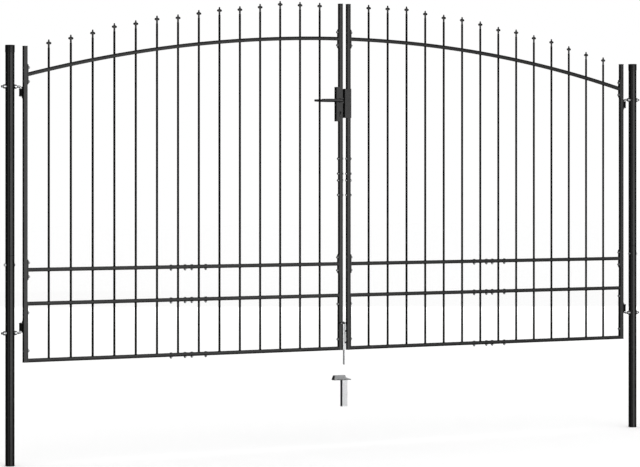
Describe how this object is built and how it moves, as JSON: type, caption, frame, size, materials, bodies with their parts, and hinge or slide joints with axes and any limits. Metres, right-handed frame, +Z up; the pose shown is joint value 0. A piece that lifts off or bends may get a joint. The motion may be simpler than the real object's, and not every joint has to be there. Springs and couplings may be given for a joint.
{
  "type": "driveway gate",
  "caption": "Pair of arched swinging gate leaves with spear-topped bars between two round steel posts, with a lever lock, a drop bolt and a ground socket.",
  "frame": {"origin": "centre of the left post's flat foot", "axes": "+X runs across the gateway to the right post, +Y runs through the gateway away from the viewer, +Z up"},
  "size_m": [4.048, 0.0986, 2.48],
  "materials": {
    "black_powder_coat": "satin black powder coat on steel",
    "galvanised_steel": "bright zinc-plated steel",
    "black_plastic": "matt black moulded plastic"
  },
  "bodies": {
    "posts": {"left_hinge_pins": "galvanised_steel", "left_post_lower": "black_powder_coat", "left_post_upper": "black_powder_coat", "post_caps": "black_plastic", "right_hinge_pins": "galvanised_steel", "right_post_lower": "black_powder_coat", "right_post_upper": "black_powder_coat", "socket_plate": "galvanised_steel", "socket_tube": "galvanised_steel"},
    "left_leaf": {"left_arch": "black_powder_coat", "left_bars": "black_powder_coat", "left_bottom_rail": "black_powder_coat", "left_end_plates": "black_powder_coat", "left_hinge_barrels": "black_powder_coat", "left_hinge_stile": "black_powder_coat", "left_lower_rail": "black_powder_coat", "left_meeting_stile_lower": "black_powder_coat", "left_meeting_stile_upper": "black_powder_coat", "left_spear_heads": "black_powder_coat", "left_stile_caps": "black_plastic", "left_upper_rail": "black_powder_coat", "lock_case": "black_powder_coat", "lock_cylinder": "black_powder_coat", "latch_tongue": "black_powder_coat", "drop_bolt_guide": "galvanised_steel"},
    "right_leaf": {"right_arch": "black_powder_coat", "right_bars": "black_powder_coat", "right_bottom_rail": "black_powder_coat", "right_end_plates": "black_powder_coat", "right_hinge_barrels": "black_powder_coat", "right_hinge_stile": "black_powder_coat", "right_lower_rail": "black_powder_coat", "right_meeting_stile_lower": "black_powder_coat", "right_meeting_stile_upper": "black_powder_coat", "right_spear_heads": "black_powder_coat", "right_stile_caps": "black_plastic", "right_upper_rail": "black_powder_coat", "lock_keep": "black_powder_coat"},
    "lever": {"lever_front": "black_powder_coat", "lever_back": "black_powder_coat", "lock_spindle": "black_powder_coat"},
    "drop_bolt": {"drop_bolt_rod": "galvanised_steel"}
  },
  "joints": [
    {"name": "left_leaf_swing", "type": "hinge", "parent": "posts", "child": "left_leaf", "pos_m": [0.059, 0, 1.3], "axis": [0, 0, 1], "range_deg": [-90, 90]},
    {"name": "right_leaf_swing", "type": "hinge", "parent": "posts", "child": "right_leaf", "pos_m": [3.893, 0, 1.3], "axis": [0, 0, -1], "range_deg": [-90, 90]},
    {"name": "lever_turn", "type": "hinge", "parent": "left_leaf", "child": "lever", "pos_m": [1.944, 0, 1.935], "axis": [0, -1, 0], "range_deg": [0, 45], "stiffness_Nm_per_rad": 1.5, "springref_deg": -20.05},
    {"name": "drop_bolt_slide", "type": "slide", "parent": "left_leaf", "child": "drop_bolt", "axis": [0, 0, -1], "range_m": [0, 0.11]}
  ]
}
